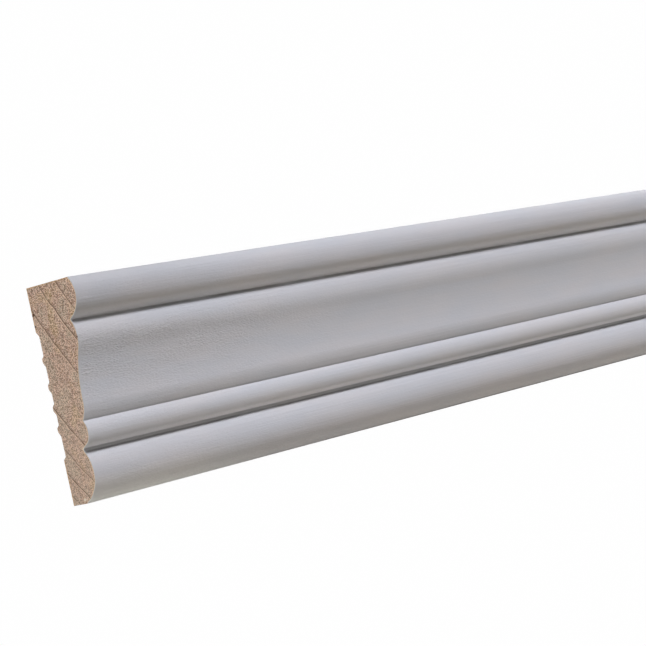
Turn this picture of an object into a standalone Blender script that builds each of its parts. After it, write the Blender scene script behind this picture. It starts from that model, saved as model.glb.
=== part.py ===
"""Casing moulding: one length of milled and primed softwood trim for a door or window opening.

The moulding lies along X. Its flat back is the plane Y = 0 and its moulded face looks along -Y, with
the thick outer edge up. The origin is the middle of the flat land at the thick edge of the back.
Metres, +Z up.

A point of the section is (depth, height): depth is out from the back, height is up from the thin edge.
"""

import math

import bpy

# Overall size: a stock casing, 11/16 in thick by 2-1/4 in wide
LENGTH = 0.300
WIDTH = 0.05715
THICKNESS = 0.01746

# Bead along the thick edge; drops run down from the top edge
EDGE_ARRIS_SETBACK = 0.0017
EDGE_BEAD_FULL_DROP = 0.00455
EDGE_BEAD_HEIGHT = 0.0105

# Ogee field: a quirk, a round shoulder, and a hollow that runs out on the lower field
UPPER_QUIRK_CUT = 0.00113
UPPER_QUIRK_GAP = 0.0002
SHOULDER_DEPTH = 0.01478
SHOULDER_FULL_DROP = 0.00445
SHOULDER_SHARE = 0.18
FIELD_DEPTH = 0.01168
FIELD_HEIGHT = 0.0048

# Small bead between the crease under the field and the lower quirk; cuts run in from its face
SMALL_BEAD_DEPTH = 0.01105
SMALL_BEAD_HEIGHT = 0.0056
SMALL_BEAD_FULL_DROP = 0.0028
SMALL_BEAD_CORNER_CUT = 0.00085
CREASE_CUT = 0.0009

# Bead along the thin edge; cuts run in from its face and heights run up from the bottom edge
LOWER_BEAD_DEPTH = 0.01004
LOWER_BEAD_HEIGHT = 0.01325
LOWER_BEAD_FULL_HEIGHT = 0.0075
LOWER_QUIRK_CUT = 0.00188
LOWER_QUIRK_GAP = 0.0006
LOWER_QUIRK_RISE = 0.00135
BOTTOM_ARRIS_SETBACK = 0.0050

# Relieved back: shallow grooves between two flat lands, listed from the thick edge down
TOP_LAND = 0.01165
BOTTOM_LAND = 0.0120
GROOVE_SHARES = (7.0, 5.9, 4.6, 4.5, 7.3)
GROOVE_CUT = 0.0009
GROOVE_UPPER_FLANK = 0.0012
GROOVE_LOWER_FLANK = 0.0008
RIDGE_WIDTH = 0.00105
RIDGE_SETBACK = 0.00012

# A round stretch has a point at least this often
ARC_STEP = math.radians(4.0)

PRIMER_COLOUR = (0.55, 0.55, 0.57, 1.0)
PRIMER_ROUGHNESS = 0.45


def bend(full, end):
    """Points of the arc that leaves the fullest point straight up or down and bends round to the end."""
    fall = full[0] - end[0]
    rise = end[1] - full[1]
    if fall == 0.0:
        return [full, end]
    turn = 2.0 * math.atan2(abs(fall), abs(rise))
    radius = math.hypot(fall, rise) / (2.0 * math.sin(turn / 2.0))
    steps = math.ceil(turn / ARC_STEP)
    points = []
    for step in range(steps + 1):
        angle = turn * step / steps
        depth = full[0] - math.copysign(radius * (1.0 - math.cos(angle)), fall)
        height = full[1] + math.copysign(radius * math.sin(angle), rise)
        points.append((depth, height))
    return points


def bead(start, full, end):
    """Round bead that swells from its start to its fullest point and back to its end."""
    return bend(full, start)[::-1] + bend(full, end)[1:]


def between(start, end, share):
    """The point at a share of the way from the start to the end."""
    return tuple(a + share * (b - a) for a, b in zip(start, end))


def edge_bead(quirk_depth):
    """Bead along the thick edge, from the top arris down to the upper quirk."""
    arris = (THICKNESS - EDGE_ARRIS_SETBACK, WIDTH)
    full = (THICKNESS, WIDTH - EDGE_BEAD_FULL_DROP)
    root = (quirk_depth, WIDTH - EDGE_BEAD_HEIGHT)
    return bead(arris, full, root)


def ogee(quirk_depth, crease):
    """Shoulder, hollow and lower field, from the upper quirk down to the crease."""
    root = (quirk_depth, WIDTH - EDGE_BEAD_HEIGHT - UPPER_QUIRK_GAP)
    shoulder = (SHOULDER_DEPTH, root[1] - SHOULDER_FULL_DROP)
    field_top = (FIELD_DEPTH, crease[1] + FIELD_HEIGHT)
    turning_point = between(shoulder, field_top, SHOULDER_SHARE)
    points = bead(root, shoulder, turning_point)
    points += bend(field_top, turning_point)[-2::-1]
    points += bend(field_top, crease)[1:]
    return points


def small_bead(crease, corner):
    """Bead below the crease, down to the corner where the lower quirk cuts in."""
    full = (SMALL_BEAD_DEPTH, crease[1] - SMALL_BEAD_FULL_DROP)
    return bead(crease, full, corner)[1:]


def lower_bead(root):
    """Bead along the thin edge, from the lower quirk round to the bottom edge."""
    full = (LOWER_BEAD_DEPTH, LOWER_BEAD_FULL_HEIGHT)
    return bead(root, full, (LOWER_BEAD_DEPTH - BOTTOM_ARRIS_SETBACK, 0.0))


def relieved_back():
    """Back from the thin edge up to the thick edge: a land, the grooves with their ridges, a land."""
    ridges = RIDGE_WIDTH * (len(GROOVE_SHARES) - 1)
    groove_room = WIDTH - TOP_LAND - BOTTOM_LAND - ridges
    last = len(GROOVE_SHARES) - 1
    points = [(0.0, 0.0)]
    height = BOTTOM_LAND
    for number, share in enumerate(reversed(GROOVE_SHARES)):
        width = groove_room * share / sum(GROOVE_SHARES)
        lower_lip = 0.0 if number == 0 else RIDGE_SETBACK
        upper_lip = 0.0 if number == last else RIDGE_SETBACK
        points.append((lower_lip, height))
        points.append((GROOVE_CUT, height + GROOVE_LOWER_FLANK))
        points.append((GROOVE_CUT, height + width - GROOVE_UPPER_FLANK))
        points.append((upper_lip, height + width))
        height += width + RIDGE_WIDTH
    points.append((0.0, WIDTH))
    return points


def section():
    """The whole outline, from the top arris down the moulded face and up the back."""
    upper_quirk_depth = SHOULDER_DEPTH - UPPER_QUIRK_CUT
    lower_quirk_depth = LOWER_BEAD_DEPTH - LOWER_QUIRK_CUT
    lower_root = (lower_quirk_depth, LOWER_BEAD_HEIGHT)
    upper_root = (lower_quirk_depth, LOWER_BEAD_HEIGHT + LOWER_QUIRK_GAP)
    corner = (SMALL_BEAD_DEPTH - SMALL_BEAD_CORNER_CUT, upper_root[1] + LOWER_QUIRK_RISE)
    crease = (SMALL_BEAD_DEPTH - CREASE_CUT, corner[1] + SMALL_BEAD_HEIGHT)
    face = edge_bead(upper_quirk_depth) + ogee(upper_quirk_depth, crease)
    face += small_bead(crease, corner) + [upper_root] + lower_bead(lower_root)
    return face + relieved_back()


def primer_material():
    """Dull grey primer."""
    material = bpy.data.materials.new("primer")
    material.use_nodes = True
    shader = material.node_tree.nodes["Principled BSDF"]
    shader.inputs["Base Color"].default_value = PRIMER_COLOUR
    shader.inputs["Roughness"].default_value = PRIMER_ROUGHNESS
    shader.inputs["Metallic"].default_value = 0.0
    return material


def moulding(name, collection):
    """The section run along X, cut square at both ends."""
    origin_height = WIDTH - TOP_LAND / 2.0
    curve = bpy.data.curves.new(name, "CURVE")
    curve.dimensions = "2D"
    curve.fill_mode = "BOTH"
    curve.extrude = LENGTH / 2.0
    outline = section()
    spline = curve.splines.new("POLY")
    spline.points.add(len(outline) - 1)
    for point, (depth, height) in zip(spline.points, outline):
        point.co = (-depth, height - origin_height, 0.0, 1.0)
    spline.use_cyclic_u = True
    curve.materials.append(primer_material())
    casing = bpy.data.objects.new(name, curve)
    casing.rotation_euler = (math.pi / 2.0, 0.0, math.pi / 2.0)
    collection.objects.link(casing)
    return casing


for old_object in list(bpy.data.objects):
    bpy.data.objects.remove(old_object)

trim = bpy.data.collections.new("casing_moulding")
bpy.context.scene.collection.children.link(trim)
moulding("casing_moulding", trim)
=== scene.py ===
"""Looks of the casing moulding: grey primer on the face and edges, sawn ends, and a bare relieved back.

One closed mesh stands for the whole moulding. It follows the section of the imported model, read off its
left end, and adds what the solid leaves out: the primer's fine relief, worn arrises at the saw cuts and
the roughness of the cut wood. Metres, +Z up. A place along the section is (y, z).
"""

import math

import bpy
import numpy as np
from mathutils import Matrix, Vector, geometry, kdtree, noise


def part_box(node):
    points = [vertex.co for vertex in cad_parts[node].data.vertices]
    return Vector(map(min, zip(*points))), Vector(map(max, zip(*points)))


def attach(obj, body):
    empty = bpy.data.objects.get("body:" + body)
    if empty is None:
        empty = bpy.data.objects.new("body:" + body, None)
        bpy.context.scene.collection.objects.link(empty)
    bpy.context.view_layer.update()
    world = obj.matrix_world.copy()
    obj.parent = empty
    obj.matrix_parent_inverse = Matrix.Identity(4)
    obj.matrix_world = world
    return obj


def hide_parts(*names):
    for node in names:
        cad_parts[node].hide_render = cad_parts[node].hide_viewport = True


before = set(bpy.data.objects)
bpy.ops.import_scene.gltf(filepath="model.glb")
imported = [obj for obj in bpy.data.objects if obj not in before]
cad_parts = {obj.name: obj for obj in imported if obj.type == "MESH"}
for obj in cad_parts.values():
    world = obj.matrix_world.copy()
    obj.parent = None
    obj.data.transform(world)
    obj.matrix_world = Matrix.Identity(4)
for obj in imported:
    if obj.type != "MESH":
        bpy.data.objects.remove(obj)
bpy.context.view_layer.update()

MOULDING = "casing_moulding"
LOW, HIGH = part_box(MOULDING)
MIDDLE = (LOW + HIGH) / 2.0
LENGTH = HIGH.x - LOW.x


def grey(value):
    """An opaque grey."""
    return (value, value, value, 1.0)


# Camera: the photograph's place, turn and lens, with the picture square and the sensor across it
CAMERA_LOCATION = (-0.525893, -0.406023, -0.029699)
CAMERA_TURN = (91.1006, 12.5737, -50.0779)
CAMERA_LENS_MM = 119.257
CAMERA_SENSOR_MM = 36.0
CAMERA_CLIP = (0.01, 100.0)

# Section: what counts as a corner, and how far apart points lie on each kind of run
CORNER_ANGLE = math.radians(12.0)
SAME_PLACE_DIGITS = 7
FLAT_TOLERANCE = 0.00002
BACK_DEPTH = 0.0011
OGEE_LENGTH = 0.020
OGEE_SPACING = 0.00026
BEAD_SPACING = 0.00040
PLAIN_SPACING = 0.00120
SMOOTH_ANGLE = math.radians(30.0)

# Stations along the length: close together where the primer is wrinkled, then further and further apart
FINE_LENGTH = 0.112
FINE_STEP = 0.00050
COARSE_STEP = 0.0040
STEP_GROWTH = 1.06

# Arrises at the saw cuts, worn off unevenly by about this much
FRONT_WEAR = 0.00008
PLAIN_WEAR = 0.00007
WEAR_CELL = 0.0007
WEAR_MIDDLE = 0.75
WEAR_RAGGED = 0.8
WEAR_LEAST = 0.15

# Relief of the primer: wrinkles that fade out from the left end, full between two heights of the field and
# weaker on the beads, streaks along the whole length, and none at a corner. A cell is a size along X and
# along the section
WRINKLE_DEPTH = 0.000050
WRINKLE_CELL = (0.0014, 0.00052)
WRINKLE_BEND = 0.6
WRINKLE_BEND_CELL = (0.004, 0.003)
WRINKLE_PATCH_CELL = (0.018, 0.006)
WRINKLE_PATCH_MIDDLE = 0.75
WRINKLE_PATCH_RANGE = (0.2, 1.2)
WRINKLE_FADE_START = 0.020
WRINKLED_LENGTH = 0.140
FIELD_FOOT = (0.022, 0.038)
FIELD_TOP = (0.041, 0.0455)
BEAD_WRINKLES = 0.35
STREAK_DEPTH = 0.000010
STREAK_CELL = (0.090, 0.00085)
CORNER_CALM = 0.0007

# Painted shade: it darkens faces that look up and see less than a share of their surroundings
SIGHT_RAYS = 48
SHADED_SIGHT = 0.60
UNSHADED_SIGHT = 0.80
SHADED_LEAN = 0.2
# Width of the painted shadow line along the bottom arris.
FOOT_LINE = 0.00035

# Cut wood: relief of the sawn ends and the points it is carried by
END_SPACING = 0.00045
END_JITTER = 0.3
END_CLEARANCE = 0.55
CUT_DEPTH = 0.000045
CUT_CELL = 0.00055
SAW_MARK_DEPTH = 0.000020
SAW_MARK_PITCH = 0.0016
SAW_MARK_LEAN = 0.12

# Growth rings: circles round a pith that lies outside the piece, above and in front of it, which wander
# along the length. From here on a cell is a size along X, Y and Z
PITH = (0.0, -0.164, 0.092675)
RING_RADII = (0.1695, 0.1763, 0.1817, 0.1884, 0.1959, 0.2022, 0.2081, 0.2126, 0.2165, 0.2200)
RING_STRENGTHS = (0.75, 0.75, 1.0, 0.75, 0.25, 0.95, 0.60, 1.0, 1.0, 1.0)
RING_RIPPLE = 0.0009
RING_RIPPLE_CELL = (0.05, 0.004, 0.004)
RING_WANDER = 0.012
RING_WANDER_CELL = (0.11, 0.06, 0.06)
RING_WANDER_RUN = (0.004, 0.12)

# Colours, as linear values
PRIMER = (0.555, 0.555, 0.592, 1.0)
PRIMER_COOL = (0.540, 0.548, 0.592, 1.0)
PRIMER_WARM = (0.570, 0.562, 0.592, 1.0)
# Primer smear on the cut rims, lighter than the primer itself and so partly a painted highlight; also the
# painted light by the left cut
PRIMER_SMEAR_AND_PAINTED_LIGHT = (0.800, 0.800, 0.780, 1.0)
PAINTED_SHADE = (0.140, 0.132, 0.125, 1.0)
END_DARK = (0.130, 0.068, 0.040, 1.0)
END_MIDDLE = (0.625, 0.410, 0.288, 1.0)
END_LIGHT = (1.000, 0.815, 0.655, 1.0)
END_PINK = (0.660, 0.395, 0.310, 1.0)
END_GREY = (0.550, 0.440, 0.330, 1.0)
END_OCHRE = (0.660, 0.430, 0.200, 1.0)
END_PALE = (0.850, 0.670, 0.530, 1.0)
RING_DARK = (0.190, 0.105, 0.062, 1.0)
RING_PALE = (0.900, 0.700, 0.540, 1.0)
GOLDEN_EDGE = (0.780, 0.470, 0.180, 1.0)
CREAM = (0.950, 0.850, 0.720, 1.0)
DARK_BROWN = (0.110, 0.045, 0.025, 1.0)
PINE_LIGHT = (0.690, 0.500, 0.300, 1.0)
PINE_DARK = (0.560, 0.370, 0.200, 1.0)
PINE_RING = (0.400, 0.215, 0.095, 1.0)
GROOVE_DUST_AND_SHADE = (0.260, 0.170, 0.100, 1.0)
TABLE_WHITE = (0.53, 0.50, 0.44, 1.0)
BACKDROP_WHITE = (0.9955, 0.9955, 0.9955, 1.0)

# Primer: how its colour, gloss and fine relief vary. A spread is where in a noise's range it acts, and a
# reach or run is a distance from the left cut
PRIMER_ROUGHNESS = (0.45, 0.58)
GLOSS_CELL = (0.010, 0.002, 0.002)
TINT_CELL = (0.030, 0.006, 0.006)
TINT_SPREAD = (0.35, 0.65)
CUT_REACH = (0.080, 0.015)
QUIRK_SHADE_CELL = (0.020, 0.004, 0.004)
QUIRK_SHADE_SPREAD = (0.2, 0.5)
# Where the painted shadow line along the bottom arris fades in, away from the left cut.
FOOT_RUN = (0.04, 0.18)
FOLD_SLANTS = (math.radians(26.0), math.radians(-14.0))
FOLD_CELL = (0.0010, 0.00025, 0.00025)
FOLD_BUMP = 0.00015
FOLD_PATCH_CELL = (0.010, 0.005, 0.005)
FOLD_PATCH_SPREAD = (0.3, 0.6)
FOLD_PATCH_LEAST = 0.4
PEEL_CELL = (0.0012, 0.0005, 0.0005)
PEEL_BUMP = 0.00003
FINE_STREAK_CELL = (0.050, 0.0005, 0.0005)
STREAK_BUMP = 0.00006

# Painted light and shade in the primer's colour up the face, by share of the width: warm painted shade
# under each bead, painted shade in the crease and quirks and over the top bead, and painted light on the
# small bead and beside the upper quirk, brightest as a highlight on the small bead's lower lip
SHADE_AND_LIGHT_TONES = (
    (0.02, (1.00, 0.975, 0.94, 1.0)),
    (0.08, (1.00, 0.975, 0.95, 1.0)),
    (0.15, grey(1.0)),
    (0.213, grey(1.0)),
    (0.223, grey(0.90)),
    (0.231, grey(1.08)),
    (0.2365, grey(1.00)),
    (0.240, grey(0.45)),
    (0.2445, grey(1.30)),
    (0.248, (1.45, 1.41, 1.35, 1.0)),
    (0.259, (1.20, 1.17, 1.12, 1.0)),
    (0.264, (1.00, 0.98, 0.95, 1.0)),
    (0.31, grey(1.06)),
    (0.35, grey(1.04)),
    (0.363, grey(1.0)),
    (0.367, grey(0.72)),
    (0.375, grey(1.0)),
    (0.797, grey(1.0)),
    (0.803, grey(0.80)),
    (0.808, grey(1.0)),
    (0.824, (1.06, 1.04, 1.02, 1.0)),
    (0.85, (0.88, 0.855, 0.82, 1.0)),
    (0.88, (0.96, 0.95, 0.95, 1.0)),
    (1.00, grey(0.945)),
)

# By share of the width too: strength of the fine streaks, and of the painted shade and painted light by
# the left cut, where less light falls on the top bead and more on the lower bead's underside
STREAKED = ((0.40, 1.0), (0.46, 0.35), (0.70, 0.35), (0.76, 1.0))
PAINTED_CUT_SHADE = ((0.66, 0.035), (0.69, 0.126), (0.72, 0.126), (0.76, 0.042), (0.80, 0.035), (0.83, 0.14))
PAINTED_CUT_LIGHT = ((0.008, 0.95), (0.022, 0.60), (0.044, 0.43), (0.07, 0.30), (0.12, 0.0))

# Sawn ends: speckle and hues, rings by share of the year, and how far the primer smear, painted pale as
# partly a painted highlight, and gold reach in at the rim
END_ROUGHNESS = 0.8
GRAIN_CELL = (0.01, 0.00025, 0.00018)
GRAIN_TILT = math.radians(36.8)
GRAIN_SHADES = ((0.17, END_DARK), (0.48, END_MIDDLE), (0.84, END_LIGHT))
GRAIN_BUMP = 0.00003
HUE_CELL = (0.01, 0.005, 0.007)
HUES = ((0.35, END_OCHRE), (0.47, END_PINK), (0.60, END_GREY))
HUE_SHARE = 0.3
PALE_START = 0.012
PALE_FULL = 0.004
PALE_SHARE = 0.22
RING_PATCH_CELL = (0.01, 0.004, 0.004)
RING_PATCH_SPREAD = (0.15, 0.5)
LATE_WOOD = ((0.80, 0.0), (0.94, 0.22), (0.96, 1.0), (1.0, 1.0))
PALE_LINE = ((0.0, 0.75), (0.032, 0.65), (0.055, 0.12), (0.15, 0.0))
END_PATCH_CELL = (0.01, 0.003, 0.003)
SMEAR_REACH = (0.00005, -0.00015)
SMEAR_RAGGED = 0.0005
GOLD_REACH = (0.0005, 0.0001)
FACE_GOLD_REACH = (0.0007, 0.0003)
FACE_GOLD = 0.45

# Marks on the left saw cut, by depth and height from the back's thin edge, with radius and colour
MARKS = {
    "filler_in_the_lower_quirk": (0.00810, 0.01375, 0.0007, CREAM),
    "filler_at_the_bottom": (0.00453, 0.00110, 0.0007, CREAM),
    "resin_at_the_shoulder": (0.01450, 0.04190, 0.0006, DARK_BROWN),
    "chip_at_the_back": (0.00038, 0.05000, 0.0008, DARK_BROWN),
    "chip_above_the_grooves": (0.00030, 0.04700, 0.0006, DARK_BROWN),
}
MARK_RAGGED = 0.5
MARK_CORE = 0.6

# Bare back: fibres, rings as stripes, dust and painted shade by depth in the grooves, and primer crept
# over the edges
PINE_ROUGHNESS = 0.65
FIBRE_CELL = (0.030, 0.0004, 0.0004)
FIBRE_BUMP = 0.00004
PINE_SHADES = ((0.30, PINE_DARK), (0.65, PINE_LIGHT))
STRIPES = ((0.45, 0.0), (0.85, 0.35), (0.96, 0.9), (1.0, 1.0))
DUST_AND_SHADE_SHARE = 0.35
DUST_AND_SHADE_DEPTH = (0.0002, 0.0008)
DUST_AND_SHADE_CELL = (0.030, 0.01, 0.003)
DUST_AND_SHADE_SPREAD = (0.25, 0.5)
CREEP = 0.004
CREEP_CELL = (0.004, 0.004, 0.002)
CREEP_EDGE = (0.0010, 0.0016)
KNIFE_CELL = (0.0012, 0.05, 0.05)
KNIFE_BUMP = 0.00001

# Light: faint surroundings, and oval lights by direction, distance, size across and up, power and colour
SURROUNDINGS = (0.045, 0.045, 0.045, 1.0)
LIGHTS = {
    "key_above_front": ((0.0, -0.530, 0.848), 1.5, (2.4, 0.29), 26.5, (0.99, 1.0, 1.05)),
    "left_end_light": ((-1.0, 0.0, 0.1), 1.2, (0.6, 0.6), 4.5, (1.0, 1.0, 1.0)),
    "right_end_light": ((1.0, 0.05, 0.3), 1.2, (0.6, 0.6), 4.0, (1.0, 1.0, 1.0)),
    "back_light": ((0.2, 0.8, 0.55), 1.5, (1.2, 1.0), 12.0, (1.0, 1.0, 1.0)),
    "light_below_back": ((0.0, 0.6, -0.8), 1.5, (1.2, 1.0), 4.0, (1.0, 1.0, 1.0)),
}

# Studio: a far floor and backdrop that only the camera sees, and a table top that only the light sees
BACKDROP_RADIUS = 3.0
FLOOR_DROP = 1.2
TABLE_GAP = 0.004
TABLE_REACH = 0.60
TABLE_ROUGHNESS = 1.0


def section_corners():
    """The CAD section's corners as (y, z), from the front arris of the thick edge down the face."""
    onward = {}
    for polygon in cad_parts[MOULDING].data.polygons:
        places = [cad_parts[MOULDING].data.vertices[i].co for i in polygon.vertices]
        if max(place.x for place in places) > LOW.x + FLAT_TOLERANCE:
            continue
        flat = [(round(place.y, SAME_PLACE_DIGITS), round(place.z, SAME_PLACE_DIGITS)) for place in places]
        for start, end in zip(flat, flat[1:] + flat[:1]):
            if onward.pop((end, start), None) is None:
                onward[(start, end)] = end
    following = {start: end for start, end in onward}
    first = min(following, key=lambda place: (-place[1], place[0]))
    corners = [first]
    while following[corners[-1]] != first:
        corners.append(following[corners[-1]])
    if abs(corners[1][1] - first[1]) < FLAT_TOLERANCE:
        corners = [first] + corners[:0:-1]
    return np.array(corners)


def turn_at(corners, index):
    """How far the section turns at one of its corners."""
    here = Vector(corners[index])
    before = here - Vector(corners[index - 1])
    after = Vector(corners[(index + 1) % len(corners)]) - here
    return before.angle(after)


def sharp_runs(corners):
    """The section cut at its sharp corners into smooth runs, in order."""
    sharp = [index for index in range(len(corners)) if turn_at(corners, index) > CORNER_ANGLE]
    closed = np.vstack((corners, corners[:1]))
    return [closed[start:end + 1] for start, end in zip(sharp, sharp[1:] + [len(corners)])]


def run_length(run):
    """Length of a run of points."""
    return np.linalg.norm(np.diff(run, axis=0), axis=1).sum()


def run_region(run):
    """Which side of the moulding a run belongs to."""
    if np.ptp(run[:, 1]) < FLAT_TOLERANCE and abs(run[0, 1] - HIGH.z) < FLAT_TOLERANCE:
        return "top"
    if np.ptp(run[:, 1]) < FLAT_TOLERANCE and abs(run[0, 1] - LOW.z) < FLAT_TOLERANCE:
        return "bottom"
    if run[:, 0].min() > -BACK_DEPTH:
        return "back"
    return "front"


def run_spacing(run):
    """How far apart a run's points lie."""
    if run_region(run) != "front":
        return PLAIN_SPACING
    if run_length(run) > OGEE_LENGTH:
        return OGEE_SPACING
    return BEAD_SPACING


def smooth_run(run):
    """Evenly spaced points on the smooth curve through a run, without its last point."""
    reach = np.concatenate(([0.0], np.cumsum(np.linalg.norm(np.diff(run, axis=0), axis=1))))
    slopes = np.gradient(run, reach, axis=0, edge_order=min(2, len(run) - 1))
    count = max(2, round(reach[-1] / run_spacing(run)))
    targets = np.linspace(0.0, reach[-1], count, endpoint=False)
    span = np.searchsorted(reach, targets, side="right") - 1
    width = (reach[span + 1] - reach[span])[:, None]
    part = (targets - reach[span])[:, None] / width
    points = run[span] * (1.0 + 2.0 * part) * (1.0 - part) ** 2
    points += run[span + 1] * (3.0 - 2.0 * part) * part ** 2
    points += slopes[span] * width * part * (1.0 - part) ** 2
    points -= slopes[span + 1] * width * part ** 2 * (1.0 - part)
    return points


def sight(points, normals):
    """The share of its surroundings that each point of the outline sees past the moulding itself."""
    lean = np.arcsin(np.linspace(-1.0, 1.0, SIGHT_RAYS + 2)[1:-1])
    steps = np.roll(points, -1, axis=0) - points
    shares = []
    for point, normal in zip(points, normals):
        side = np.array((-normal[1], normal[0]))
        rays = np.cos(lean)[:, None] * normal + np.sin(lean)[:, None] * side
        offset = points - point - normal * FLAT_TOLERANCE
        cross = np.outer(rays[:, 0], steps[:, 1]) - np.outer(rays[:, 1], steps[:, 0])
        cross = np.where(cross == 0.0, 1.0e-12, cross)
        reach = (offset[:, 0] * steps[:, 1] - offset[:, 1] * steps[:, 0]) / cross
        place = (np.outer(rays[:, 1], offset[:, 0]) - np.outer(rays[:, 0], offset[:, 1])) / cross
        blocked = (reach > 0.0) & (place >= 0.0) & (place <= 1.0)
        shares.append(1.0 - blocked.any(axis=1).mean())
    return np.array(shares)


def outline_of_section():
    """The fine outline: its points, with what the relief and the colours need to know at each."""
    points = []
    regions = []
    corner_places = []
    for run in sharp_runs(section_corners()):
        smooth = smooth_run(run)
        corner_places.append(len(regions))
        points.extend(smooth)
        regions.extend([run_region(run)] * len(smooth))
    points = np.array(points)
    steps = np.roll(points, -1, axis=0) - points
    lengths = np.linalg.norm(steps, axis=1)
    along = np.concatenate(([0.0], np.cumsum(lengths)[:-1]))
    edge_normals = np.stack((steps[:, 1], -steps[:, 0]), axis=1) / lengths[:, None]
    normals = edge_normals + np.roll(edge_normals, 1, axis=0)
    normals /= np.linalg.norm(normals, axis=1)[:, None]
    corner_distance = np.abs(along[:, None] - along[corner_places][None, :]).min(axis=1)
    corner_distance = np.minimum(corner_distance, lengths.sum() - along)
    calm = np.clip(corner_distance / CORNER_CALM, 0.0, 1.0)
    # Painted shade on up-facing front faces that see little past the moulding.
    hidden = np.clip((UNSHADED_SIGHT - sight(points, normals)) / (UNSHADED_SIGHT - SHADED_SIGHT), 0.0, 1.0)
    front = np.array([region == "front" for region in regions])
    quirk_shade = hidden * front * np.clip(normals[:, 1] / SHADED_LEAN, 0.0, 1.0)
    # Painted shadow line along the front's bottom arris.
    arris = points[front][-1]
    foot = front * np.clip(1.0 - np.linalg.norm(points - arris, axis=1) / FOOT_LINE, 0.0, 1.0)
    height = points[:, 1] - LOW.z
    field = fade(height, FIELD_FOOT[1], FIELD_FOOT[0]) * fade(height, FIELD_TOP[0], FIELD_TOP[1])
    wrinkled = front * (BEAD_WRINKLES + (1.0 - BEAD_WRINKLES) * field)
    return {"points": points, "normals": normals, "along": along, "calm": calm, "quirk_shade": quirk_shade,
            "foot": foot, "wrinkled": wrinkled, "regions": regions}


def stations():
    """Places along X, from the left end to the right, apart from the two saw cuts themselves."""
    distances = [FRONT_WEAR]
    step = FINE_STEP
    while distances[-1] + step < LENGTH - COARSE_STEP / 2.0:
        distances.append(distances[-1] + step)
        if distances[-1] > FINE_LENGTH:
            step = min(step * STEP_GROWTH, COARSE_STEP)
    distances.append(LENGTH - FRONT_WEAR)
    return distances


def fade(value, start, end):
    """Smooth step from 1 at the start to 0 at the end."""
    part = np.clip((value - start) / (end - start), 0.0, 1.0)
    return 1.0 - part * part * (3.0 - 2.0 * part)


def flat_noise(place, cell, pattern):
    """Noise from -1 to 1 at a place in a plane, with cells of a size, in one of many patterns."""
    return noise.noise(Vector((place[0] / cell[0], place[1] / cell[1], pattern)))


def wrinkle_depth(distance, along, wrinkled):
    """How far the wrinkled primer lies below its highest level."""
    if wrinkled == 0.0:
        return 0.0
    patch = flat_noise((distance, along), WRINKLE_PATCH_CELL, 5.0)
    bend = WRINKLE_BEND * flat_noise((distance, along), WRINKLE_BEND_CELL, 9.0)
    place = Vector((distance / WRINKLE_CELL[0], along / WRINKLE_CELL[1] + bend, 0.0))
    least, most = WRINKLE_PATCH_RANGE
    strength = wrinkled * min(max(WRINKLE_PATCH_MIDDLE + patch, least), most)
    return WRINKLE_DEPTH * strength * (0.5 + 0.5 * noise.noise(place))


def streak_depth(distance, along):
    """How far a lengthwise streak lies below the highest level."""
    return STREAK_DEPTH * (0.5 + 0.5 * flat_noise((distance, along), STREAK_CELL, 2.0))


def side_points(outline, distance):
    """The outline at one station, with the relief of each side sunk into it."""
    sunk = []
    wrinkled = outline["wrinkled"] * fade(distance, WRINKLE_FADE_START, WRINKLED_LENGTH)
    rows = zip(outline["points"], outline["normals"], outline["along"], outline["calm"], wrinkled)
    for point, normal, along, calm, share in rows:
        depth = streak_depth(distance, along) + wrinkle_depth(distance, along, share)
        place = point - normal * depth * calm
        sunk.append((LOW.x + distance, place[0], place[1]))
    return sunk


def worn_outline(outline, seed):
    """The outline at a saw cut, drawn in by the wear of its arris."""
    worn = []
    rows = zip(outline["points"], outline["normals"], outline["along"], outline["regions"])
    for point, normal, along, region in rows:
        wear = FRONT_WEAR if region == "front" else PLAIN_WEAR
        ragged = WEAR_MIDDLE + WEAR_RAGGED * noise.noise(Vector((along / WEAR_CELL, seed, 0.0)))
        worn.append(point - normal * wear * max(ragged, WEAR_LEAST))
    return np.array(worn)


def inside(places, outline):
    """Which places lie inside a closed outline, by how often a level ray crosses it."""
    odd = np.zeros(len(places), bool)
    for start, end in zip(outline, np.roll(outline, -1, axis=0)):
        spans = (start[1] > places[:, 1]) != (end[1] > places[:, 1])
        rise = end[1] - start[1] if end[1] != start[1] else 1.0
        crossing = start[0] + (places[:, 1] - start[1]) / rise * (end[0] - start[0])
        odd ^= spans & (places[:, 0] < crossing)
    return odd


def nearest(places, targets):
    """Distance from each place to the closest target."""
    tree = kdtree.KDTree(len(targets))
    for index, target in enumerate(targets):
        tree.insert((target[0], target[1], 0.0), index)
    tree.balance()
    return np.array([tree.find((place[0], place[1], 0.0))[2] for place in places])


def end_places(worn, seed):
    """Scattered places inside a saw cut, clear of its outline."""
    low = worn.min(axis=0)
    high = worn.max(axis=0)
    columns = np.arange(low[0], high[0], END_SPACING)
    rows = np.arange(low[1], high[1], END_SPACING)
    across, up = np.meshgrid(columns, rows)
    places = np.stack((across.ravel(), up.ravel()), axis=1)
    shake = np.random.default_rng(seed).uniform(-END_JITTER, END_JITTER, places.shape)
    places += shake * END_SPACING
    places = places[inside(places, worn)]
    return places[nearest(places, worn) > END_SPACING * END_CLEARANCE]


def cut_depth(place):
    """How far a point of a saw cut lies below the cut's highest level."""
    rough = flat_noise(place, (CUT_CELL, CUT_CELL), 4.0)
    mark = math.sin(2.0 * math.pi * (place[1] + SAW_MARK_LEAN * place[0]) / SAW_MARK_PITCH)
    return CUT_DEPTH * (0.5 + 0.5 * rough) + SAW_MARK_DEPTH * (0.5 + 0.5 * mark)


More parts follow.
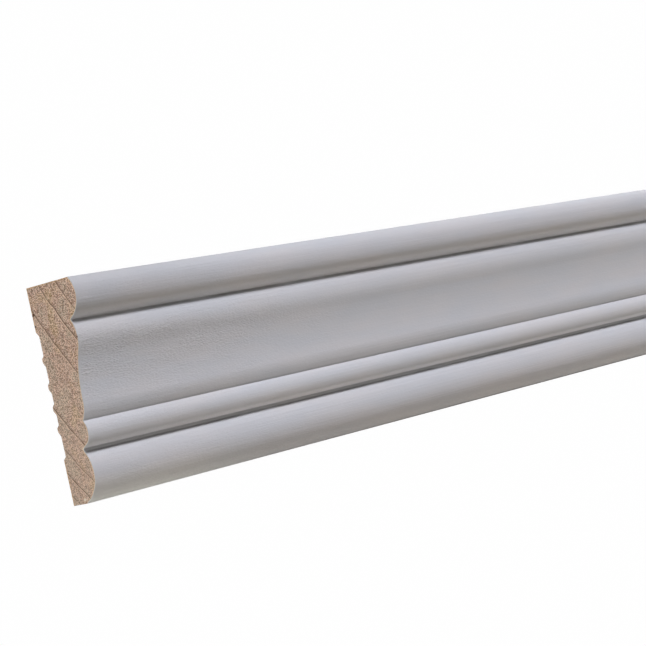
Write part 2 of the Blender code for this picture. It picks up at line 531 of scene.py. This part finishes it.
def end_mesh(worn, seed):
    """A saw cut's inner places and its triangles, which count the worn outline's points first."""
    places = end_places(worn, seed)
    given = [Vector(place) for place in np.vstack((worn, places))]
    loop = list(range(len(worn)))
    result = geometry.delaunay_2d_cdt(given, [], [loop], 1, 1e-9)
    origin = [ids[0] for ids in result[3]]
    triangles = [[origin[corner] for corner in face] for face in result[2]]
    return places, triangles


def mark_points(mesh, outline, places_x, rim):
    """Store at each point how far it is from the primer's rim, its painted shade in the quirks, its place
    on the painted shadow line along the bottom arris, and its wrinkles.
    """
    clean_ends = np.zeros(len(rim) - len(outline["points"]) * len(places_x))
    near = fade(np.array(places_x), WRINKLE_FADE_START, WRINKLED_LENGTH)
    even = np.ones(len(places_x))
    mesh.attributes.new("rim", "FLOAT", "POINT").data.foreach_set("value", rim)
    for name, share in (("quirk_shade", even), ("foot", even), ("wrinkled", near)):
        values = np.concatenate((np.outer(share, outline[name]).ravel(), clean_ends))
        mesh.attributes.new(name, "FLOAT", "POINT").data.foreach_set("value", values)


def casing_mesh():
    """The closed mesh of the moulding, with its materials and what they need to know at each point."""
    outline = outline_of_section()
    around = len(outline["points"])
    places_x = stations()
    vertices = []
    for distance in places_x:
        vertices.extend(side_points(outline, distance))
    rim = [0.0] * len(vertices)
    faces = []
    materials = []
    slot_of = {"front": 0, "top": 0, "bottom": 0, "back": 2}

    def add_band(first, second):
        for index in range(around):
            after = (index + 1) % around
            faces.append((first + index, first + after, second + after, second + index))
            materials.append(slot_of[outline["regions"][index]])

    for number in range(len(places_x) - 1):
        add_band(number * around, (number + 1) * around)
    front = [region == "front" for region in outline["regions"]]
    for seed, x, inward in ((1, LOW.x, 1.0), (2, HIGH.x, -1.0)):
        worn = worn_outline(outline, seed)
        start = len(vertices)
        vertices.extend((x, place[0], place[1]) for place in worn)
        places, triangles = end_mesh(worn, seed)
        vertices.extend((x + inward * cut_depth(place), place[0], place[1]) for place in places)
        rim.extend(nearest(np.vstack((worn, places)), worn[front]))
        for triangle in triangles:
            ordered = triangle[::-1] if inward > 0.0 else triangle
            faces.append([start + corner for corner in ordered])
            materials.append(1)
        if inward > 0.0:
            add_band(start, 0)
        else:
            add_band((len(places_x) - 1) * around, start)
    mesh = bpy.data.meshes.new("casing")
    mesh.from_pydata(vertices, [], faces)
    mark_points(mesh, outline, places_x, rim)
    for material in (primer_material(), end_grain_material(), bare_back_material()):
        mesh.materials.append(material)
    mesh.polygons.foreach_set("material_index", materials)
    mesh.shade_smooth()
    mesh.set_sharp_from_angle(angle=SMOOTH_ANGLE)
    mesh.validate()
    return mesh


def add_node(tree, kind, inputs=None, **settings):
    """A new shader node. An input is given as a value, or as another node's output to link."""
    node = tree.nodes.new("ShaderNode" + kind)
    for name, value in settings.items():
        setattr(node, name, value)
    for name, value in (inputs or {}).items():
        if isinstance(value, bpy.types.NodeSocket):
            tree.links.new(value, node.inputs[name])
        else:
            node.inputs[name].default_value = value
    return node


def maths(tree, operation, first, second=0.0):
    """Output of a math node."""
    return add_node(tree, "Math", {0: first, 1: second}, operation=operation).outputs[0]


def product(tree, first, second):
    """Output of a math node that multiplies."""
    return maths(tree, "MULTIPLY", first, second)


def noise_value(tree, coords, cell, detail=2.0, roughness=0.5):
    """Noise whose cells are stretched to a size in metres along each axis."""
    scale = tuple(1.0 / size for size in cell)
    mapped = add_node(tree, "Mapping", {"Vector": coords, "Scale": scale})
    inputs = {"Vector": mapped.outputs[0], "Scale": 1.0, "Detail": detail, "Roughness": roughness}
    return add_node(tree, "TexNoise", inputs).outputs[0]


def smooth_range(tree, value, start, end):
    """0 before the start, 1 after the end, smooth between."""
    inputs = {"Value": value, "From Min": start, "From Max": end}
    return add_node(tree, "MapRange", inputs, interpolation_type="SMOOTHSTEP").outputs[0]


def blended(tree, factor, first, second, how="MIX"):
    """Colour mixed from the first to the second by a factor."""
    inputs = {0: factor, 6: first, 7: second}
    return add_node(tree, "Mix", inputs, data_type="RGBA", blend_type=how).outputs[2]


def ramp(tree, factor, stops):
    """Output of a colour ramp, with its stops as (place, colour)."""
    node = add_node(tree, "ValToRGB", {"Fac": factor})
    elements = node.color_ramp.elements
    ends = (stops[0], stops[-1])
    for element, (place, shade) in zip(elements, ends):
        element.position = place
        element.color = shade
    for place, shade in stops[1:-1]:
        elements.new(place).color = shade
    return node.outputs[0]


def value_ramp(tree, factor, stops):
    """Output of a ramp of greys, with its stops as (place, value)."""
    return ramp(tree, factor, [(place, grey(value)) for place, value in stops])


def bump(tree, height, distance, normal=None):
    """Normal output of a bump whose height runs from 0 to 1 over a distance in metres."""
    inputs = {"Height": height, "Distance": distance, "Strength": 1.0}
    if normal is not None:
        inputs["Normal"] = normal
    return add_node(tree, "Bump", inputs).outputs[0]


def new_material(name, roughness):
    """A material with its node tree, its shader and object coordinates."""
    material = bpy.data.materials.new(name)
    material.use_nodes = True
    tree = material.node_tree
    shader = tree.nodes["Principled BSDF"]
    shader.inputs["Metallic"].default_value = 0.0
    shader.inputs["Roughness"].default_value = roughness
    coords = add_node(tree, "TexCoord").outputs["Object"]
    return material, tree, shader, coords


def curve_value(tree, value, stops):
    """Output of a curve of straight stretches between its stops, which run from 0 to 1."""
    node = add_node(tree, "FloatCurve", {"Value": value})
    curve = node.mapping.curves[0]
    curve.points[0].location = stops[0]
    curve.points[-1].location = stops[-1]
    for place, height in stops[1:-1]:
        curve.points.new(place, height)
    for point in curve.points:
        point.handle_type = "VECTOR"
    node.mapping.update()
    return node.outputs[0]


def growth_rings(tree, coords):
    """Where a point lies in its year, from 0 just outside one ring to 1 at the next, and its strength."""
    x = add_node(tree, "SeparateXYZ", {0: coords}).outputs[0]
    from_pith = add_node(tree, "VectorMath", {0: coords, 1: PITH}, operation="SUBTRACT").outputs[0]
    flat = {0: from_pith, 1: (0.0, 1.0, 1.0)}
    across = add_node(tree, "VectorMath", flat, operation="MULTIPLY").outputs[0]
    radius = add_node(tree, "VectorMath", {0: across}, operation="LENGTH").outputs["Value"]
    ripple = maths(tree, "SUBTRACT", noise_value(tree, coords, RING_RIPPLE_CELL), 0.5)
    radius = maths(tree, "ADD", radius, product(tree, ripple, RING_RIPPLE))
    wander = maths(tree, "SUBTRACT", noise_value(tree, coords, RING_WANDER_CELL), 0.5)
    run = smooth_range(tree, x, LOW.x + RING_WANDER_RUN[0], LOW.x + RING_WANDER_RUN[1])
    wander = product(tree, wander, product(tree, run, RING_WANDER))
    radius = maths(tree, "ADD", radius, wander)
    span = {"Value": radius, "From Min": RING_RADII[0], "From Max": RING_RADII[-1]}
    share = add_node(tree, "MapRange", span).outputs[0]
    count = len(RING_RADII) - 1
    places = [(ring - RING_RADII[0]) / (RING_RADII[-1] - RING_RADII[0]) for ring in RING_RADII]
    years = curve_value(tree, share, [(place, number / count) for number, place in enumerate(places)])
    strength = curve_value(tree, share, list(zip(places, RING_STRENGTHS)))
    return maths(tree, "FRACT", product(tree, years, float(count))), strength


def primer_colour(tree, coords):
    """Colour of the primer: random tints, painted light and shade across the width and by the left cut,
    painted shade in the quirks and a painted shadow line along the bottom arris; and the width's share.
    """
    tint = noise_value(tree, coords, TINT_CELL)
    colour = ramp(tree, tint, ((TINT_SPREAD[0], PRIMER_COOL), (TINT_SPREAD[1], PRIMER_WARM)))
    place = add_node(tree, "SeparateXYZ", {0: coords}).outputs
    height = {"Value": place[2], "From Min": LOW.z, "From Max": HIGH.z}
    share = add_node(tree, "MapRange", height).outputs[0]
    # Painted light and shade up the face, from the tones above.
    colour = blended(tree, 1.0, colour, ramp(tree, share, SHADE_AND_LIGHT_TONES), "MULTIPLY")
    # Painted shade and painted light by the left cut, fading out away from it.
    by_cut = smooth_range(tree, place[0], LOW.x + CUT_REACH[0], LOW.x + CUT_REACH[1])
    cut_shade = value_ramp(tree, share, PAINTED_CUT_SHADE)
    colour = blended(tree, product(tree, cut_shade, by_cut), colour, PAINTED_SHADE)
    cut_light = value_ramp(tree, share, PAINTED_CUT_LIGHT)
    colour = blended(tree, product(tree, cut_light, by_cut), colour, PRIMER_SMEAR_AND_PAINTED_LIGHT)
    # Painted shade in the quirks, in patches.
    quirk_shade = add_node(tree, "Attribute", attribute_name="quirk_shade").outputs["Fac"]
    uneven = smooth_range(tree, noise_value(tree, coords, QUIRK_SHADE_CELL), *QUIRK_SHADE_SPREAD)
    colour = blended(tree, product(tree, quirk_shade, uneven), colour, PAINTED_SHADE)
    # Painted shadow line along the bottom arris away from the left cut, and painted light on it by the
    # cut.
    foot = add_node(tree, "Attribute", attribute_name="foot").outputs["Fac"]
    further = smooth_range(tree, place[0], LOW.x + FOOT_RUN[0], LOW.x + FOOT_RUN[1])
    colour = blended(tree, product(tree, foot, further), colour, PAINTED_SHADE)
    return blended(tree, product(tree, foot, by_cut), colour, PRIMER_SMEAR_AND_PAINTED_LIGHT), share


def crossing_folds(tree, coords):
    """Height of short fine folds in two slanting directions that cross, in patches by the left end."""
    sets = []
    for slant in FOLD_SLANTS:
        turned = add_node(tree, "Mapping", {"Vector": coords, "Rotation": (0.0, slant, 0.0)}).outputs[0]
        sets.append(noise_value(tree, turned, FOLD_CELL, detail=0.0))
    folds = maths(tree, "ADD", sets[0], sets[1])
    patches = noise_value(tree, coords, FOLD_PATCH_CELL)
    spread = {"Value": patches, "To Min": FOLD_PATCH_LEAST}
    spread["From Min"], spread["From Max"] = FOLD_PATCH_SPREAD
    patches = add_node(tree, "MapRange", spread).outputs[0]
    wrinkled = add_node(tree, "Attribute", attribute_name="wrinkled").outputs["Fac"]
    return product(tree, product(tree, wrinkled, patches), folds)


def primer_material():
    """Grey primer: nearly even in colour, faintly streaked, and wrinkled by the left end."""
    material, tree, shader, coords = new_material("grey_primer", PRIMER_ROUGHNESS[0])
    colour, share = primer_colour(tree, coords)
    tree.links.new(colour, shader.inputs["Base Color"])
    streaks = noise_value(tree, coords, FINE_STREAK_CELL)
    streaks = product(tree, streaks, value_ramp(tree, share, STREAKED))
    peel = noise_value(tree, coords, PEEL_CELL, detail=1.0)
    normal = bump(tree, streaks, STREAK_BUMP)
    normal = bump(tree, peel, PEEL_BUMP, normal)
    normal = bump(tree, crossing_folds(tree, coords), FOLD_BUMP, normal)
    tree.links.new(normal, shader.inputs["Normal"])
    gloss = {"Value": noise_value(tree, coords, GLOSS_CELL)}
    gloss["To Min"], gloss["To Max"] = PRIMER_ROUGHNESS
    tree.links.new(add_node(tree, "MapRange", gloss).outputs[0], shader.inputs["Roughness"])
    return material


def grain_cells(tree, coords):
    """A random value, the same all over each of the small cells of cut wood."""
    scale = tuple(1.0 / size for size in GRAIN_CELL)
    turned = add_node(tree, "Mapping", {"Vector": coords, "Rotation": (GRAIN_TILT, 0.0, 0.0)})
    mapped = add_node(tree, "Mapping", {"Vector": turned.outputs[0], "Scale": scale})
    cells = add_node(tree, "TexVoronoi", {"Vector": mapped.outputs[0], "Scale": 1.0})
    return add_node(tree, "SeparateColor", {0: cells.outputs["Color"]}).outputs[0]


def ringed_wood(tree, coords, speckle, z):
    """Colour of the cut wood: speckled cells, and thin dark rings with a pale line outside each."""
    colour = ramp(tree, speckle, GRAIN_SHADES)
    hue = noise_value(tree, coords, HUE_CELL, detail=1.0)
    colour = blended(tree, HUE_SHARE, colour, ramp(tree, hue, HUES))
    low_part = smooth_range(tree, z, HIGH.z - PALE_START, LOW.z + PALE_FULL)
    colour = blended(tree, product(tree, low_part, PALE_SHARE), colour, END_PALE)
    phase, strength = growth_rings(tree, coords)
    uneven = smooth_range(tree, noise_value(tree, coords, RING_PATCH_CELL), *RING_PATCH_SPREAD)
    strength = product(tree, strength, uneven)
    late = value_ramp(tree, phase, LATE_WOOD)
    colour = blended(tree, product(tree, late, strength), colour, RING_DARK)
    pale = value_ramp(tree, phase, PALE_LINE)
    return blended(tree, product(tree, pale, strength), colour, RING_PALE)


def edged_wood(tree, coords, colour, place):
    """The cut wood's colour with primer smeared over its rim, painted pale as partly a painted highlight,
    and a golden line inside it, both ragged.
    """
    patch = noise_value(tree, coords, END_PATCH_CELL)
    rim = add_node(tree, "Attribute", attribute_name="rim").outputs["Fac"]
    from_rim = maths(tree, "SUBTRACT", rim, product(tree, patch, SMEAR_RAGGED))
    colour = blended(tree, smooth_range(tree, from_rim, *SMEAR_REACH), colour, PRIMER_SMEAR_AND_PAINTED_LIGHT)
    by_top = smooth_range(tree, place[2], HIGH.z - GOLD_REACH[0], HIGH.z - GOLD_REACH[1])
    by_back = smooth_range(tree, place[1], HIGH.y - GOLD_REACH[0], HIGH.y - GOLD_REACH[1])
    by_face = product(tree, smooth_range(tree, rim, *FACE_GOLD_REACH), FACE_GOLD)
    gold = maths(tree, "MAXIMUM", maths(tree, "MAXIMUM", by_top, by_back), by_face)
    return blended(tree, product(tree, gold, patch), colour, GOLDEN_EDGE)


def marked_wood(tree, coords, colour, speckle, x):
    """The cut wood's colour with the marks on the left saw cut."""
    at_left = maths(tree, "LESS_THAN", x, MIDDLE.x)
    for depth, height, radius, shade in MARKS.values():
        centre = (LOW.x, HIGH.y - depth, LOW.z + height)
        away = add_node(tree, "VectorMath", {0: coords, 1: centre}, operation="DISTANCE").outputs["Value"]
        ragged = maths(tree, "ADD", away, product(tree, speckle, radius * MARK_RAGGED))
        mark = product(tree, smooth_range(tree, ragged, radius, radius * MARK_CORE), at_left)
        colour = blended(tree, mark, colour, shade)
    return colour


def end_grain_material():
    """Sawn end grain of pine."""
    material, tree, shader, coords = new_material("sawn_end_grain", END_ROUGHNESS)
    place = add_node(tree, "SeparateXYZ", {0: coords}).outputs
    speckle = grain_cells(tree, coords)
    colour = ringed_wood(tree, coords, speckle, place[2])
    colour = edged_wood(tree, coords, colour, place)
    colour = marked_wood(tree, coords, colour, speckle, place[0])
    tree.links.new(colour, shader.inputs["Base Color"])
    tree.links.new(bump(tree, speckle, GRAIN_BUMP), shader.inputs["Normal"])
    return material


def bare_back_material():
    """Planed bare pine: rings along it as darker stripes, dust and painted shade in the grooves, primer
    over its edges.
    """
    material, tree, shader, coords = new_material("bare_pine", PINE_ROUGHNESS)
    fibre = noise_value(tree, coords, FIBRE_CELL, detail=3.0, roughness=0.6)
    colour = ramp(tree, fibre, PINE_SHADES)
    phase, strength = growth_rings(tree, coords)
    late = product(tree, value_ramp(tree, phase, STRIPES), strength)
    colour = blended(tree, late, colour, PINE_RING)
    place = add_node(tree, "SeparateXYZ", {0: coords}).outputs
    # Dust and painted shade, darker deeper in the grooves.
    sunk = smooth_range(tree, place[1], HIGH.y - DUST_AND_SHADE_DEPTH[0], HIGH.y - DUST_AND_SHADE_DEPTH[1])
    patchy = smooth_range(tree, noise_value(tree, coords, DUST_AND_SHADE_CELL), *DUST_AND_SHADE_SPREAD)
    dust_and_shade = product(tree, product(tree, sunk, patchy), DUST_AND_SHADE_SHARE)
    colour = blended(tree, dust_and_shade, colour, GROOVE_DUST_AND_SHADE)
    from_middle = maths(tree, "ABSOLUTE", maths(tree, "SUBTRACT", place[2], MIDDLE.z))
    creep = product(tree, noise_value(tree, coords, CREEP_CELL, detail=4.0), CREEP)
    edge = maths(tree, "ADD", from_middle, creep)
    half = (HIGH.z - LOW.z) / 2.0
    primed = smooth_range(tree, edge, half + CREEP_EDGE[0], half + CREEP_EDGE[1])
    colour = blended(tree, primed, colour, PRIMER)
    tree.links.new(colour, shader.inputs["Base Color"])
    knife = noise_value(tree, coords, KNIFE_CELL, detail=0.0)
    normal = bump(tree, fibre, FIBRE_BUMP)
    tree.links.new(bump(tree, knife, KNIFE_BUMP, normal), shader.inputs["Normal"])
    return material


def link_object(name, data):
    """A new object in the scene's collection."""
    made = bpy.data.objects.new(name, data)
    bpy.context.scene.collection.objects.link(made)
    return made


def add_casing():
    """The moulding itself."""
    casing = link_object("primed_casing", casing_mesh())
    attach(casing, "root")
    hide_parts(MOULDING)


def add_camera():
    """The photograph's view."""
    data = bpy.data.cameras.new("camera")
    data.lens = CAMERA_LENS_MM
    data.sensor_width = CAMERA_SENSOR_MM
    data.clip_start, data.clip_end = CAMERA_CLIP
    camera = link_object("camera", data)
    camera.location = CAMERA_LOCATION
    camera.rotation_euler = [math.radians(angle) for angle in CAMERA_TURN]
    bpy.context.scene.camera = camera


def add_lights():
    """The surroundings, and the lights, which all face the middle of the moulding."""
    world = bpy.data.worlds.new("surroundings")
    world.use_nodes = True
    world.node_tree.nodes["Background"].inputs["Color"].default_value = SURROUNDINGS
    bpy.context.scene.world = world
    for name, (direction, distance, size, power, colour) in LIGHTS.items():
        data = bpy.data.lights.new(name, "AREA")
        data.shape = "ELLIPSE"
        data.size = size[0]
        data.size_y = size[1]
        data.energy = power
        data.color = colour
        light = link_object(name, data)
        towards = Vector(direction).normalized()
        light.location = MIDDLE + towards * distance
        light.rotation_euler = towards.to_track_quat("Z", "Y").to_euler()
        light.visible_camera = False


def plain_plane(name, low, high, height):
    """A level rectangle between two (x, y) corners."""
    mesh = bpy.data.meshes.new(name)
    corners = ((low[0], low[1]), (high[0], low[1]), (high[0], high[1]), (low[0], high[1]))
    mesh.from_pydata([(x, y, height) for x, y in corners], [], [(0, 1, 2, 3)])
    return link_object(name, mesh)


def white_material():
    """Even white for the floor and the backdrop."""
    material = bpy.data.materials.new("backdrop_white")
    material.use_nodes = True
    tree = material.node_tree
    tree.nodes.remove(tree.nodes["Principled BSDF"])
    glow = add_node(tree, "Emission", {"Color": BACKDROP_WHITE, "Strength": 1.0})
    tree.links.new(glow.outputs[0], tree.nodes["Material Output"].inputs["Surface"])
    return material


def table_material():
    """Matt off-white paper."""
    material, _, shader, _ = new_material("table_paper", TABLE_ROUGHNESS)
    shader.inputs["Base Color"].default_value = TABLE_WHITE
    return material


def add_studio():
    """A white floor and backdrop for the camera, and the table top in front of the thin edge."""
    white = white_material()
    corner = (BACKDROP_RADIUS, BACKDROP_RADIUS)
    floor = plain_plane("floor", (-corner[0], -corner[1]), corner, LOW.z - FLOOR_DROP)
    bpy.ops.mesh.primitive_uv_sphere_add(radius=BACKDROP_RADIUS, segments=48, ring_count=24)
    backdrop = bpy.context.object
    backdrop.name = "backdrop"
    for part in (floor, backdrop):
        part.data.materials.append(white)
        part.visible_diffuse = False
        part.visible_glossy = False
        part.visible_transmission = False
        part.visible_shadow = False
    arris = min(place[0] for place in section_corners() if place[1] < LOW.z + FLAT_TOLERANCE)
    low = (LOW.x - TABLE_REACH, arris - TABLE_REACH)
    table = plain_plane("table", low, (HIGH.x + TABLE_REACH, arris), LOW.z - TABLE_GAP)
    table.visible_camera = False
    table.data.materials.append(table_material())


add_camera()
add_casing()
add_lights()
add_studio()
bpy.context.scene.view_settings.view_transform = "Standard"
